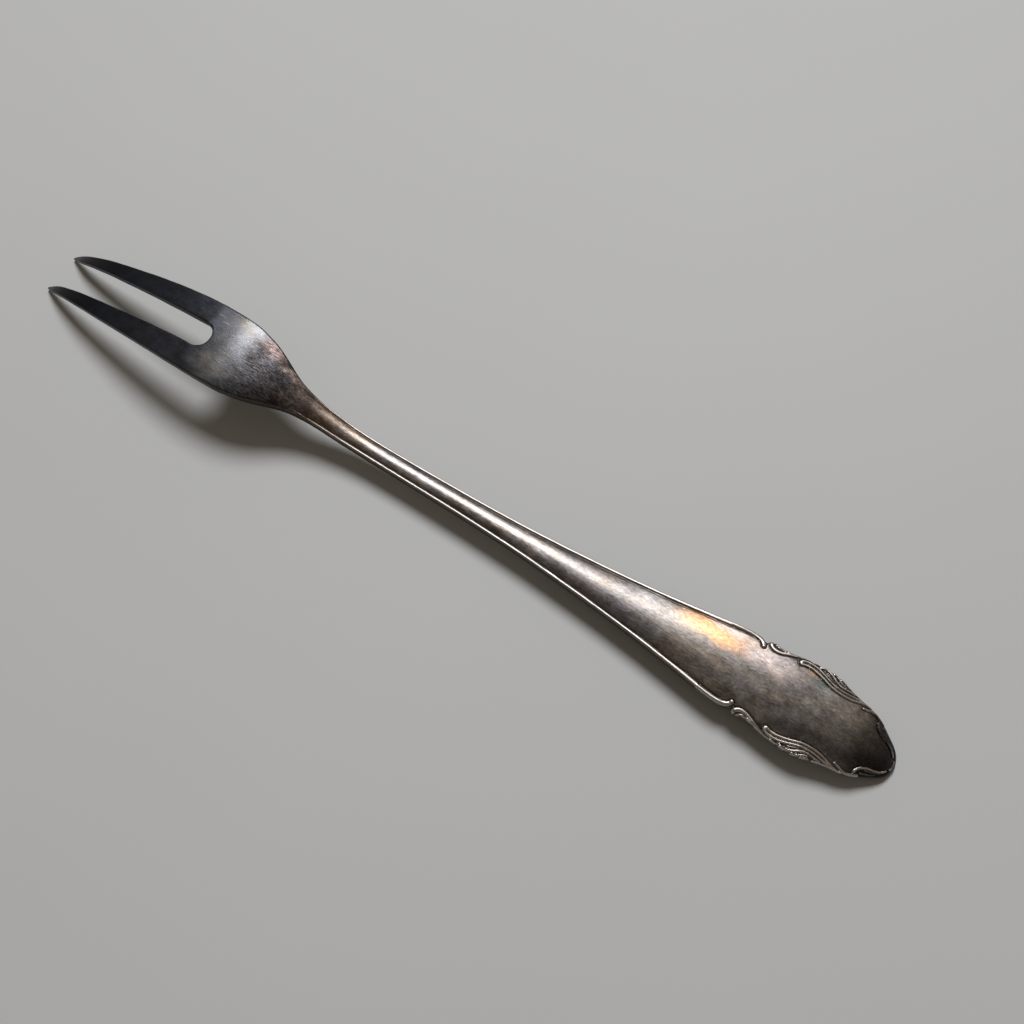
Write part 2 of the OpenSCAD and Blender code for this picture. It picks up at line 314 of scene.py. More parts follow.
# %% grid, thickness and side wall
bpy.ops.object.select_all(action="DESELECT")
bpy.ops.mesh.primitive_grid_add(x_subdivisions=len(rows) - 1, y_subdivisions=columns, size=2)
fork = bpy.context.object
fork.name = "silver_fork"
bpy.ops.object.mode_set(mode="EDIT")
bpy.ops.mesh.select_all(action="SELECT")
bpy.ops.mesh.extrude_region_move(TRANSFORM_OT_translate={"value": (0, 0, -1)})
bpy.ops.mesh.select_all(action="DESELECT")
bpy.ops.object.mode_set(mode="OBJECT")
blank = fork.data


def points_of(mesh):
    """The places of a mesh's points, one row of three numbers for each."""
    flat = np.zeros(len(mesh.vertices) * 3)
    mesh.vertices.foreach_get("co", flat)
    return flat.reshape(-1, 3)


HALF_THE_DEPTH = 0.5
heights = points_of(blank)[:, 2]
for edge in blank.edges:
    first, second = edge.vertices
    edge.select = bool(abs(heights[first] - heights[second]) > HALF_THE_DEPTH)
bpy.context.tool_settings.mesh_select_mode = (False, True, False)
bpy.ops.object.mode_set(mode="EDIT")
bpy.ops.mesh.subdivide(number_cuts=WALL_LEVELS - 1)
bpy.ops.mesh.select_all(action="DESELECT")
bpy.ops.object.mode_set(mode="OBJECT")
print("blank", len(blank.vertices), "points", len(blank.polygons), "faces")

# %% [markdown]
# Forging gives the flat blank its outline and its bends. Each point knows its row, its
# column and whether it is on the back, on the face or on the wall between them, so its
# new place is a small sum: the width at that row, the height of the back there, and the
# rounding of the nearest edge.

# %% where each point of the blank goes along and across
# The grid runs from -1 to 1 both ways, and its wall from 0 down to -1.
lattice = points_of(blank)
row = np.rint((lattice[:, 0] + 1) / 2 * (len(rows) - 1)).astype(int)
column = np.rint((lattice[:, 1] + 1) / 2 * columns).astype(int)
wall_share = -lattice[:, 2]
from_edge = columns - column
along = rows[row]
outer = half_width(along)
inner = slot_half_width(along)
depth = np.minimum(BORDER_DEPTH, BORDER_SHARE * (outer - inner))
in_border = from_edge <= BORDER_COLUMNS
border_in = depth * from_edge / BORDER_COLUMNS
field_in = depth + (outer - inner - depth) * (from_edge - BORDER_COLUMNS) / FIELD_COLUMNS
across = outer - np.where(in_border, border_in, field_in)
print("widest", round(2 * across.max(), 2), "mm")

# %% [markdown]
# The rounding of the edges and the threads keep a fixed distance from the outline, as a
# file or a roller run along the edge would. So each point needs its distance from the
# nearest edge, and a search tree over points close together on the outline finds it.

# %% distance of each point from the nearest edge
COURSE_STEP = 0.05
END_CURVE = 2
END_COURSE_STEP = 0.004
SHORT_SIDE_POINTS = 8
QUARTER_CIRCLE = np.radians(np.arange(0, 91, 1.0))


def edge_course():
    """Points along the outline and the slot, close together."""
    end_from = fork_l - END_CURVE
    fine = np.concatenate([
        np.arange(0, end_from, COURSE_STEP), np.arange(end_from, fork_l, END_COURSE_STEP), [fork_l]])
    slot_fine = np.concatenate([
        np.arange(0, SLOT_STRAIGHT, COURSE_STEP),
        SLOT_STRAIGHT + SLOT_ROOT_RADIUS * np.sin(QUARTER_CIRCLE)])
    tip = np.linspace(SLOT_HALF_WIDTH[0][1], HALF_WIDTH[0][1], SHORT_SIDE_POINTS)
    end = np.linspace(0, HALF_WIDTH[-1][1], SHORT_SIDE_POINTS)
    return np.concatenate([
        np.stack([fine, half_width(fine)], 1),
        np.stack([slot_fine, slot_half_width(slot_fine)], 1),
        np.stack([tip * 0, tip], 1),
        np.stack([end * 0 + fork_l, end], 1)])


def nearest(course, x, y):
    """Distance from each point (x, y) to the nearest point of a course."""
    tree = KDTree(len(course))
    for i, (course_x, course_y) in enumerate(course):
        tree.insert((course_x, course_y, 0), i)
    tree.balance()
    return np.array([tree.find((point_x, point_y, 0))[2] for point_x, point_y in zip(x, y)])


edge_away = nearest(edge_course(), along, across)
print("deepest point", round(edge_away.max(), 2), "mm from an edge")

# %% [markdown]
# The border is struck into the metal by a die. Each rib is a rounded ridge that follows
# its own course and tapers to its far end, with a sharp valley where two ribs meet and a
# shallow groove outside it. The courses are read off the fork, a few places each.

# %% the ribs of the border: course, half widths at both ends, height
THREAD_END = [
    (133.4, 5.76), (135.2, 6.0), (136.75, 6.12), (137.75, 6.08), (138.4, 5.88), (138.85, 5.55),
    (139.08, 5.2)]
SCROLL = [
    (139.85, 6.35), (140.05, 5.95), (140.55, 5.62), (141.2, 5.52), (141.9, 5.63), (142.7, 5.92),
    (143.4, 6.2), (144.3, 6.53), (145.2, 6.78)]
SCROLL_INNER = [
    (140.6, 6.48), (140.85, 6.3), (141.3, 6.18), (142, 6.18), (142.8, 6.3), (143.5, 6.42), (144.2, 6.6),
    (144.9, 6.8), (145.7, 6.95), (146.6, 7.03), (147.5, 7.08)]
LOBE = [(147.4, 7.1), (147.9, 7.03), (148.2, 6.75)]
LEAF_STEM = [
    (145.3, 6), (146, 6.25), (147.2, 6.3), (148.2, 6.12), (149.2, 5.82), (150.15, 5.47), (151.3, 5.22),
    (152.6, 5.12), (154, 5.2), (155.5, 5.45)]
LEAF_INNER = [
    (145.3, 5.72), (146, 5.95), (146.8, 6.02), (147.6, 5.92), (148.4, 5.76), (149.4, 5.48),
    (150.4, 5.14), (151.3, 4.94), (152.3, 4.86), (153.3, 4.86), (154.2, 4.95), (155, 5.16),
    (155.8, 5.38), (156.7, 5.56), (157.5, 5.6), (158, 5.48)]
LEAF_OUTER = [
    (145.15, 6.15), (145.5, 6.4), (146.05, 6.55), (146.85, 6.6), (147.6, 6.54), (148.3, 6.4),
    (149, 6.17), (149.85, 5.87), (150.5, 5.65), (151.2, 5.47), (152, 5.38), (153, 5.38), (154.3, 5.52),
    (155.4, 5.65), (156.5, 5.7)]
LEAF_VEINS = [
    [(148.3, 7.12), (149.1, 7.08), (149.8, 6.92), (150.5, 6.58), (151.1, 6.22), (151.8, 5.98),
     (152.5, 5.86), (153.2, 5.9), (154.5, 5.98)],
    [(150.3, 7.15), (150.9, 7.02), (151.4, 6.75), (151.95, 6.42), (152.6, 6.24)],
    [(151.7, 6.92), (152.25, 6.72), (152.8, 6.52)]]
LEAF_RIM = [(153.5, 6.42), (154.3, 6.2), (155.2, 6), (156.2, 5.83), (157.3, 5.68)]
TAIL = [
    (156.46, 4.82), (157.1, 4.97), (157.75, 5.18), (158.4, 5.24), (159, 5.1), (159.7, 4.82),
    (160.3, 4.52)]
END_FILL = [(159.95, 4), (160.7, 3.5), (161.6, 3.1), (162.6, 2.65)]
END_INNER = [
    (159.5, 4.4), (159.58, 4), (159.93, 3.46), (160.6, 2.96), (161.3, 2.68), (162.1, 2.43),
    (162.85, 2.12), (163.4, 1.8)]
END_MIDDLE = [(161, 3.2), (161.7, 2.92), (162.6, 2.55), (163.2, 2.22)]
END_OUTER = [(160.5, 3.98), (161.2, 3.66), (161.9, 3.28), (162.6, 2.82)]
END_BUD = [(163.45, 1.72), (163.85, 1.25)]
SHELL = [(164.3, 0.75), (164.45, 0.4), (164.5, 0)]
RIBS = [
    (THREAD_END, 0.34, 0.4, 0.24), (SCROLL, 0.38, 0.18, 0.25), (SCROLL_INNER, 0.18, 0.15, 0.27),
    (LOBE, 0.12, 0.12, 0.2), (LEAF_STEM, 0.42, 0.3, 0.05), (LEAF_INNER, 0.235, 0.18, 0.25),
    (LEAF_OUTER, 0.235, 0.16, 0.27), (LEAF_VEINS[0], 0.225, 0.16, 0.27), (LEAF_VEINS[1], 0.2, 0.15, 0.25),
    (LEAF_VEINS[2], 0.19, 0.15, 0.3), (LEAF_RIM, 0.16, 0.14, 0.16), (TAIL, 0.2, 0.22, 0.24),
    (END_FILL, 0.5, 0.2, 0.05), (END_INNER, 0.22, 0.15, 0.26), (END_MIDDLE, 0.11, 0.1, 0.12),
    (END_OUTER, 0.11, 0.1, 0.12), (END_BUD, 0.18, 0.16, 0.24), (SHELL, 0.16, 0.16, 0.16)]
EYES = [((139.05, 5.2), 0.4, 0.22), ((139.9, 6.2), 0.4, 0.22), ((145.22, 5.95), 0.43, 0.24)]
print(len(RIBS), "ribs and", len(EYES), "eyes on each side")

# %% [markdown]
# Ribs could be bevelled curves that are joined on, but a seam would run along each of them
# and their feet would have to meet the domed back. A die pushes the metal instead, and so
# does this: each point learns how far it is from a course, and how far along it that is.

# %% how far points are from a course
def fine_course(places, steps=8):
    """A smooth course through a few places, with eight short steps for each stretch."""
    places = np.array(places, float)
    ahead = np.gradient(places, axis=0)
    course = []
    for i in range(len(places) - 1):
        for share in np.arange(steps) / steps:
            course.append(on_stretch(share, places[i], places[i + 1], ahead[i], ahead[i + 1]))
    return np.array(course + [places[-1]])


def away_from_course(course, x, y):
    """For each point: how far it is from the course, and how far along the course that is."""
    nearest_away = np.full(len(x), np.inf)
    share = np.zeros(len(x))
    for i, (start, end) in enumerate(zip(course[:-1], course[1:])):
        run = end - start
        part = np.clip(((x - start[0]) * run[0] + (y - start[1]) * run[1]) / (run @ run), 0, 1)
        away = np.hypot(x - start[0] - part * run[0], y - start[1] - part * run[1])
        closer = away < nearest_away
        nearest_away = np.where(closer, away, nearest_away)
        share = np.where(closer, (i + part) / (len(course) - 1), share)
    return nearest_away, share


print("the scroll is followed in", len(fine_course(SCROLL)) - 1, "short steps")

# %% [markdown]
# A ridge is nearly flat on top and steep at its sides, as metal is that fills its groove in
# the die. Where two ribs meet, the higher one wins, which leaves the sharp valley between
# them. Just outside each rib runs the narrow groove where the tarnish stays darkest.

# %% ridges and grooves of the border
RIB_FLATNESS = 2.6
RIB_SINKS = 0.35
EYE_FLATNESS = 2.0
EYE_STANDS_OUT = 1.15
GROOVE_AT = 0.05
GROOVE_HALF = 0.075


def bead(share, flatness):
    """A rounded ridge: 1 on top, where the share is 0, and 0 at its side, where it is 1."""
    return np.sqrt(np.clip(1 - np.abs(share) ** flatness, 0, None))


def groove_beside(outside):
    """A narrow groove just outside a ridge's side."""
    return np.exp(-((outside - GROOVE_AT) / GROOVE_HALF) ** 2)


def struck_border(x, y):
    """How high the border stands, in millimetres, and how deep its grooves are, from 0 to 1."""
    raised = np.zeros(len(x))
    groove = np.zeros(len(x))
    for places, broad, narrow, tall in RIBS:
        away, share = away_from_course(fine_course(places), x, y)
        half = broad + (narrow - broad) * share
        raised = np.maximum(raised, tall * (1 - RIB_SINKS * share) * bead(away / half, RIB_FLATNESS))
        groove = np.maximum(groove, groove_beside(away - half))
    for (eye_x, eye_y), size, tall in EYES:
        away = np.hypot(x - eye_x, y - eye_y)
        raised = np.maximum(raised, tall * EYE_STANDS_OUT * bead(away / size, EYE_FLATNESS))
        groove = np.maximum(groove, groove_beside(away - size))
    return raised, groove


print("the grooves of the border are about", 2 * GROOVE_HALF, "mm wide")

# %% [markdown]
# Between the head and the border a thread runs along each edge of the stem, with a groove
# inside it. It follows the edge itself, so it needs no course of its own. It rises out of
# the neck, grows with the stem, and gives way to the first rib of the border.

# %% the thread along the stem
THREAD_HALF = [(50, 0.12), (70, 0.15), (100, 0.18), (120, 0.24), (137, 0.35)]
THREAD_INSET = 0.04
THREAD_HEIGHT = 0.15
THREAD_FLATNESS = 4.0
THREAD_GROOVE_HALF = 0.11
THREAD_PRESENCE = [(0, 0), (53, 0), (61, 1), (136.4, 1), (138.4, 0), (165, 0)]


def thread_side(x):
    """How far in from the edge the thread's inner side is."""
    return THREAD_INSET + 2 * curve_through(THREAD_HALF, x)


def struck_thread(x, away):
    """How high the thread stands, in millimetres, and how deep its groove is, from 0 to 1."""
    presence = curve_through(THREAD_PRESENCE, x)
    half = curve_through(THREAD_HALF, x)
    raised = THREAD_HEIGHT * bead((away - THREAD_INSET - half) / half, THREAD_FLATNESS)
    groove = np.exp(-((away - thread_side(x) - THREAD_GROOVE_HALF) / THREAD_GROOVE_HALF) ** 2)
    return presence * raised, presence * groove


thread_in = float(thread_side(BORDER_FROM))
print("at the border the thread reaches", round(thread_in, 2), "mm in from the edge")

# %% [markdown]
# The strike raises the ribs and sinks the grooves. Under the border the ground along the
# edge is sunk a little as well, because the die presses it down between the ribs. How
# sunk a point is, is kept for later, since tarnish gathers there.

# %% strike the relief
GROOVE_SHARE = 0.7
GROOVE_DEPTH = 0.1
BAND_WIDTH = 0.9
BAND_FADE = 0.3
BAND_SHARE = 0.55
BORDER_PRESENCE = [(0, 0), (139.2, 0), (139.9, 1), (165, 1)]
RIDGE_HIDES_GROOVE = 0.06

raised, groove = struck_thread(along, edge_away)
under_border = along > BORDER_FROM
border_raised, border_groove = struck_border(along[under_border], across[under_border])
raised[under_border] = np.maximum(raised[under_border], border_raised)
groove[under_border] = np.maximum(groove[under_border], border_groove)
band = curve_through(BORDER_PRESENCE, along) * np.clip((BAND_WIDTH - edge_away) / BAND_FADE, 0, 1)
sunk = np.maximum(GROOVE_SHARE * groove, BAND_SHARE * band)
recess = sunk * np.clip(1 - raised / RIDGE_HIDES_GROOVE, 0, 1)
relief = raised - GROOVE_DEPTH * recess
print("relief from", round(relief.min(), 2), "to", round(relief.max(), 2), "mm")

# %% [markdown]
# Now the heights. The back is bowed along the fork, a little higher in the middle than at
# its edges, and its edges are rounded. The face follows it at the metal's thickness, is
# hollow in the head, and goes nowhere below the table. The wall lies between the two.

# %% set the heights
BACK_EDGE = [
    (0, 0.7), (3, 2.9), (6, 4.5), (11, 6.45), (16, 7.85), (22, 9.45), (27, 10.5), (32, 11.25),
    (36, 11.55), (40, 11.5), (44, 11.1), (48, 10.3), (52, 9.15), (56, 7.8), (60, 6.5), (65, 5.35),
    (70, 4.9), (76, 4.75), (125, 4.75), (140, 4.62), (150, 4.35), (155, 3.95), (160, 3.1),
    (163, 2.15), (165, 1.1)]
EDGE_THICKNESS = [
    (0, 0.6), (3, 0.95), (12, 1.25), (37, 1.4), (51, 1.7), (60, 1.7), (105, 1.7), (137, 1.4), (165, 1.1)]
BACK_RISE = [
    (0, 0.1), (24, 0.18), (38, 0.45), (53, 0.42), (62, 0.24), (72, 0.22), (84, 0.27), (97, 0.34),
    (110, 0.42), (137, 0.6), (158, 0.5), (165, 0.02)]
FACE_RISE = [
    (0, 0.0), (24, 0.0), (38, -0.35), (45, -0.35), (60, 0.4), (105, 0.4), (137, 0.3), (158, 0.3),
    (165, 0.0)]
CROWN_INSET = [(0, 0), (53, 0), (61, 1), (124, 1), (150, 0), (165, 0)]
EDGE_ROUND = [(0, 0.2), (132, 0.2), (139, 0.48), (165, 0.45)]
ROUND_SHARE = 0.4
FULLY_RAISED = 0.14


def edge_drop(away, x, thickness):
    """How far the rounding takes the surface down, near an edge."""
    radius = np.minimum(curve_through(EDGE_ROUND, x), ROUND_SHARE * thickness)
    short = np.clip(radius - away, 0, radius)
    return radius - np.sqrt(radius * radius - short * short)


back_edge = curve_through(BACK_EDGE, along)
thickness = curve_through(EDGE_THICKNESS, along)
threads = curve_through(CROWN_INSET, along) * (thread_side(along) + 2 * THREAD_GROOVE_HALF)
crown = 1 - np.clip(across / (plain_half_width(along) - threads), 0, 1) ** 2
drop = edge_drop(edge_away, along, thickness)
back = back_edge + curve_through(BACK_RISE, along) * crown + relief - drop
face = back_edge - thickness - curve_through(FACE_RISE, along) * crown - relief + drop
face = np.maximum(face, 0.0)
level = back * (1 - wall_share) + face * wall_share
forged = np.stack([along - fork_l / 2, across, level], 1) * MM
blank.vertices.foreach_set("co", forged.ravel())
marks = {
    "recess": recess,
    "raised": np.clip(raised / FULLY_RAISED, 0, 1),
    "wall": 1 - np.abs(2 * wall_share - 1)}
for name, values in marks.items():
    blank.attributes.new(name, "FLOAT", "POINT").data.foreach_set("value", values)
blank.update()
print("forged height", round(level.max(), 2), "mm")

# %% [markdown]
# Past the root of the slot both halves are one metal. The wall that the extrusion left on
# the middle line is deleted there, and a mirror makes the other half and joins them.

# %% open the middle line, mirror and smooth
MERGE_WITHIN = 0.002
SMOOTH_UP_TO = math.radians(50)

on_middle = (across < MERGE_WITHIN) & (from_edge == columns)
for polygon in blank.polygons:
    polygon.select = all(on_middle[point] for point in polygon.vertices)
bpy.ops.object.mode_set(mode="EDIT")
bpy.context.tool_settings.mesh_select_mode = (False, False, True)
bpy.ops.mesh.delete(type="FACE")
bpy.ops.mesh.select_all(action="SELECT")
bpy.ops.mesh.delete_loose()
bpy.ops.object.mode_set(mode="OBJECT")
mirror = fork.modifiers.new("other_half", "MIRROR")
mirror.use_axis = (False, True, False)
mirror.use_clip = True
mirror.merge_threshold = MERGE_WITHIN * MM
bpy.ops.object.modifier_apply(modifier=mirror.name)
bpy.ops.object.mode_set(mode="EDIT")
bpy.ops.mesh.select_all(action="SELECT")
bpy.ops.mesh.normals_make_consistent(inside=False)
bpy.ops.mesh.select_all(action="DESELECT")
bpy.ops.object.mode_set(mode="OBJECT")
bpy.ops.object.shade_smooth_by_angle(angle=SMOOTH_UP_TO)
loose_edges = sum(1 for edge in fork.data.edges if edge.is_loose)
print("fork", len(fork.data.vertices), "points", len(fork.data.polygons), "faces", loose_edges, "loose")

# %% [markdown]
# A procedural finish is many small nodes, and most of them do one of a few things. With a
# helper for each, the recipe below reads like the steps on the metal. Nodes joined by hand
# in the editor would give the same picture, but they couldn't be read from top to bottom.

# %% helpers that build shader nodes
def add(tree, kind, inputs=(), **settings):
    """Adds a node, sets it up, and links or fills its inputs."""
    made = tree.nodes.new(kind)
    for name, value in settings.items():
        setattr(made, name, value)
    for name, value in dict(inputs).items():
        feed(made.inputs[name], value)
    return made


def vector_math(tree, operation, *values):
    made = add(tree, "ShaderNodeVectorMath", operation=operation)
    for socket, value in zip(made.inputs, values):
        feed(socket, value)
    return made.outputs[0]


def times(tree, first, second):
    made = add(tree, "ShaderNodeMath", operation="MULTIPLY")
    feed(made.inputs[0], first)
    feed(made.inputs[1], second)
    return made.outputs[0]


def in_range(tree, value, low_in, high_in, low_out=0.0, high_out=1.0, smooth=False):
    """Takes a value from one range to another, and stops it at the ends."""
    made = add(tree, "ShaderNodeMapRange", {
        "Value": value, "From Min": low_in, "From Max": high_in, "To Min": low_out, "To Max": high_out})
    if smooth:
        made.interpolation_type = "SMOOTHSTEP"
    return made.outputs["Result"]


def mix_values(tree, share, first, second):
    inputs = {"Factor": share, "A": first, "B": second}
    return add(tree, "ShaderNodeMix", inputs, data_type="FLOAT").outputs["Result"]


def blend_colours(tree, how, share, first, second):
    inputs = {"Factor": share, "A": first, "B": second}
    return add(tree, "ShaderNodeMix", inputs, data_type="RGBA", blend_type=how).outputs["Result"]


def colour_ramp(tree, share, stops):
    ramp = add(tree, "ShaderNodeValToRGB", {"Fac": share})
    elements = ramp.color_ramp.elements
    ready = len(elements)
    for i, (at, colour) in enumerate(stops):
        stop = elements[i] if i < ready else elements.new(at)
        stop.position = at
        stop.color = (*colour, 1.0)
    return ramp.outputs["Color"]


def noise(tree, place, stretch, detail, roughness):
    """Soft noise whose features are about 1 over stretch, in millimetres, along each axis."""
    scaled = vector_math(tree, "MULTIPLY", place, stretch)
    return add(tree, "ShaderNodeTexNoise", {
        "Vector": scaled, "Scale": 1.0, "Detail": detail, "Roughness": roughness})


# %% [markdown]
# Silver plate darkens with sulphur in the air: brown and rose where the film is thin,
# blue and nearly black where it is thick, and always darkest down in the grooves, while
# hands keep the raised border pale. So the colour is built up like the real film: a
# tarnish that changes along the fork, soft patches on it, clouds, fine scratches, and
# then the grooves, the ridges and the side walls, which the strike left as attributes.
# Some of the tones and patches are painted light and shade as well as tarnish: a painted
# highlight on the head with painted shade beside it, painted shade along the stem and
# handle, a painted reflection on one half of the stem, a painted dark reflection on the
# tines, and paler paint where the handle's end turns away from the lamp.

# %% the colours of tarnish and of painted light and shade, along the fork and in patches
NIGHT = (0.007, 0.009, 0.014)
BLUE_BLACK = (0.0115, 0.015, 0.027)
INK = (0.034, 0.042, 0.061)
STEEL_BLUE = (0.06, 0.067, 0.088)
SLATE = (0.046, 0.046, 0.051)
# A painted highlight: the lighter grey of the head's bright band.
PAINTED_HIGHLIGHT_GREY = (0.056, 0.056, 0.06)
UMBER = (0.038, 0.033, 0.031)
COPPER_BROWN = (0.15, 0.115, 0.092)
DULL_SILVER = (0.13, 0.119, 0.114)
WARM_GREY = (0.11, 0.101, 0.096)
OCHRE_GREY = (0.115, 0.103, 0.095)
STONE_GREY = (0.2, 0.184, 0.172)
PEAT = (0.15, 0.138, 0.129)
# The near-black of the tines is partly tarnish and partly a painted dark reflection; the paler grey at 40
# to 42.5 mm is a painted highlight on the head; the paler stops at 153 and 158 mm are painted light where
# the handle's end turns away from the lamp.
FILM_AND_PAINTED_LIGHT_ALONG = [
    (0, NIGHT), (5, NIGHT), (9, BLUE_BLACK), (16, INK), (31, STEEL_BLUE), (37.5, SLATE),
    (40, PAINTED_HIGHLIGHT_GREY), (42.5, PAINTED_HIGHLIGHT_GREY), (45, SLATE), (52, UMBER), (60, COPPER_BROWN),
    (72, DULL_SILVER), (96, DULL_SILVER), (108, WARM_GREY), (122, WARM_GREY), (134, OCHRE_GREY),
    (147, OCHRE_GREY), (153, STONE_GREY), (158, PEAT), (164, SLATE)]
GOLD = (0.3, 0.17, 0.092)
LILAC = (0.28, 0.235, 0.222)
SEA_GREEN = (0.12, 0.145, 0.14)
ORANGE = (0.32, 0.2, 0.13)
PLUM_GREY = (0.15, 0.134, 0.139)
PAINTED_SHADE_GREY = (0.055, 0.05, 0.05)
BROWN = (0.16, 0.133, 0.112)
LIGHT_ROSE = (0.074, 0.054, 0.049)
LIGHT_BROWN = (0.3, 0.235, 0.2)
BLACK_FILM_AND_SHADE = (0.011, 0.01, 0.0105)
DARK_FILM_AND_SHADE = (0.022, 0.02, 0.023)
PAINTED_HIGHLIGHT = (0.066, 0.066, 0.064)
DIM_SILVER = (0.16, 0.16, 0.165)
PAINTED_REFLECTION_SILVER = (0.26, 0.24, 0.235)
ASH = (0.38, 0.35, 0.325)
PATCHES = [
    # A painted highlight near the edge of the head.
    (PAINTED_HIGHLIGHT, 0.8, (41.2, 5.6), (2.2, 2.4)),
    (DIM_SILVER, 0.6, (39.8, -4.2), (4.5, 3.3)),
    # Dark tarnish and painted shade beside the head's painted highlight, which keep that highlight
    # narrow.
    (DARK_FILM_AND_SHADE, 0.85, (49.2, 2.1), (3.8, 3.7)),
    (BLACK_FILM_AND_SHADE, 0.95, (45.4, 2.6), (2.6, 4.6)),
    (LIGHT_ROSE, 0.8, (47.9, 4.8), (3.9, 2.2)),
    # More dark tarnish and painted shade past the head's highlight.
    (BLACK_FILM_AND_SHADE, 0.7, (51.0, 0.6), (4.0, 1.5)),
    (LIGHT_BROWN, 0.5, (53.0, 2.7), (3.6, 0.9)),
    (LIGHT_BROWN, 0.85, (58.6, 0.9), (2.8, 1.25)),
    (PLUM_GREY, 0.5, (54.5, -1.3), (3.6, 1.5)),
    (LIGHT_BROWN, 0.8, (62.5, 1.35), (6.5, 0.8)),
    # Painted shade where the stem's highlight would begin.
    (PAINTED_SHADE_GREY, 0.6, (65.0, 0.0), (6.0, 0.7)),
    # A painted reflection: the half of the stem at negative y is made lighter.
    (PAINTED_REFLECTION_SILVER, 0.7, (84.0, -0.65), (26.0, 0.45)),
    (PAINTED_REFLECTION_SILVER, 0.8, (100.0, -1.1), (6.0, 0.9)),
    (PLUM_GREY, 0.8, (113.0, -1.7), (14.0, 2.0)),
    # Painted shade that narrows the handle's highlight.
    (PAINTED_SHADE_GREY, 0.75, (110.0, 1.8), (12.0, 1.6)),
    (GOLD, 0.9, (131.5, 3.1), (8.5, 2.4)),
    (LILAC, 0.8, (134.0, 5.0), (6.0, 1.1)),
    (STONE_GREY, 0.8, (119.5, 3.2), (5.0, 0.9)),
    (LILAC, 0.8, (142.0, 3.6), (6.5, 2.8)),
    (ORANGE, 0.7, (147.6, 5.1), (1.4, 0.7)),
    (SEA_GREEN, 0.7, (149.8, 4.6), (3.0, 1.2)),
    (DIM_SILVER, 0.6, (124.5, -2.4), (4.5, 1.8)),
    (BROWN, 0.7, (129.5, -2.8), (6.5, 3.2)),
    (DARK_FILM_AND_SHADE, 0.6, (151.0, -3.8), (6.0, 2.6)),
    (ASH, 0.85, (154.6, 3.2), (5.0, 2.8)),
    (DARK_FILM_AND_SHADE, 0.85, (161.5, -2.8), (7.0, 3.6))]
print(len(FILM_AND_PAINTED_LIGHT_ALONG), "tones along the fork and", len(PATCHES), "patches")

# %% [markdown]
# A patch is a soft ellipse. Stains, and the painted highlights, shade and reflection among
# the patches, have no such neat rims, so a slow noise first shifts every point a little
# way, and the tones and patches are looked up at the shifted point. Painting an image
# would be the other way, but it would need a flat copy of a bent surface, and its dots
# would show close up.

# %% the tarnish film and the painted light and shade, with drifting patches
PATCH_DEPTH = 1000.0
PATCH_RIM = 1.1
PATCH_CORE = 0.2
DRIFT_NOISE = ((0.35, 0.5, 0.5), 3.0, 0.5)
DRIFT_REACH = (3.5, 2.2, 0.0)
NOISE_MIDDLE = (0.5, 0.5, 0.5)


def patch_distance(tree, place, middle, half_size):
    """How far a point is from the middle of a patch: 0 in the middle, 1 at its rim."""
    offset = vector_math(tree, "SUBTRACT", place, (middle[0] - fork_l / 2, middle[1], 0.0))
    within = vector_math(tree, "DIVIDE", offset, (*half_size, PATCH_DEPTH))
    away = add(tree, "ShaderNodeVectorMath", operation="LENGTH")
    feed(away.inputs[0], within)
    return away.outputs["Value"]


def tarnish_and_painted_light(tree, place):
    """The colour of the tarnish film, with its painted highlights, shade and reflections, before
    scratches and wear.
    """
    drift_noise = noise(tree, place, *DRIFT_NOISE).outputs["Color"]
    drift = vector_math(tree, "SUBTRACT", drift_noise, NOISE_MIDDLE)
    strayed = vector_math(tree, "MULTIPLY_ADD", drift, DRIFT_REACH, place)
    apart = add(tree, "ShaderNodeSeparateXYZ", {"Vector": strayed})
    share = in_range(tree, apart.outputs["X"], -fork_l / 2, fork_l / 2)
    colour = colour_ramp(tree, share, [(at / fork_l, tone) for at, tone in FILM_AND_PAINTED_LIGHT_ALONG])
    for tone, strength, middle, half_size in PATCHES:
        away = patch_distance(tree, strayed, middle, half_size)
        share = in_range(tree, away, PATCH_RIM, PATCH_CORE, 0.0, strength, smooth=True)
        colour = blend_colours(tree, "MIX", share, colour, tone)
    return colour


print("the patches drift by up to", DRIFT_REACH[0] / 2, "mm along the fork")

# %% [markdown]
# Up close the film is uneven: clouds, mottling, a fine grain and pale specks, and round
# the neck the strokes of a polishing cloth. Each is a noise that is stretched along the
# fork, because hands and cloths rub that way. The tines and the head stay the most even.

# %% noises, and what they do to the tone
# A noise is its stretch along, across and up, its detail and its roughness.
NOISES = {
    "cloud": ((0.45, 0.6, 0.6), 5.0, 0.6),
    "mottle": ((1.5, 1.9, 1.9), 4.0, 0.7),
    "brush": ((0.6, 4.6, 4.6), 4.0, 0.6),
    "scratch": ((0.35, 11.0, 11.0), 2.0, 0.5),
    "grain": ((1.3, 3.5, 3.5), 3.0, 0.6),
    "speck": ((2.0, 3.8, 3.8), 2.0, 0.5),
    "film": ((0.22, 0.55, 0.55), 4.0, 0.6)}
FILM_HUES = [(0.36, (0.965, 0.99, 1.04)), (0.5, (1.0, 1.0, 1.0)), (0.64, (1.06, 1.0, 0.92))]
# A range is the low and high value that come in, then those that go out.
SHADES = {
    "cloud": (0.3, 0.7, 0.86, 1.14),
    "mottle": (0.3, 0.7, 0.86, 1.15),
    "grain": (0.3, 0.7, 0.7, 1.32),
    "speck": (0.62, 0.76, 1.0, 1.8)}
STROKE_SHADES = (0.34, 0.66, 0.35, 1.8)
# The next three begin with two distances from the tips of the tines, in millimetres.
UNEVEN_FROM_HEAD = (38, 50, 0.4, 1.0)
STROKES_BEGIN = (43, 46)
STROKES_END = (61, 54)


